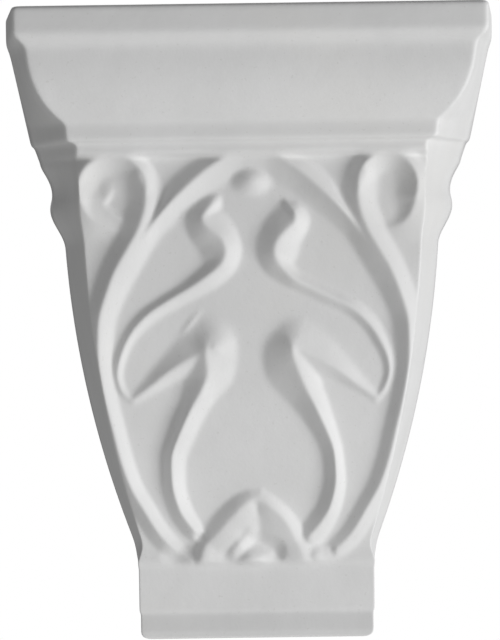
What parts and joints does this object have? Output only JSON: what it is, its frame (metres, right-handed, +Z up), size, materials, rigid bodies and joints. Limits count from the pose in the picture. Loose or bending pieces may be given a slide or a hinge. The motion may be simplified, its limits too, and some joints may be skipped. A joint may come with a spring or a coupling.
{
  "type": "corbel",
  "caption": "Cast plaster corbel: moulded cornice over a tapering body with scrolls, curling stems and leaves in relief, ending in a small block; built into a wall.",
  "frame": {"origin": "centre of the flat back, half way up, where the corbel sits against the wall", "axes": "+Z up, +Y into the wall (the carved front faces -Y), +X to the right of someone who faces the front"},
  "size_m": [0.18, 0.1, 0.23],
  "materials": {
    "plaster": "matte"
  },
  "bodies": {
    "root": {"corbel": "plaster"}
  },
  "joints": []
}
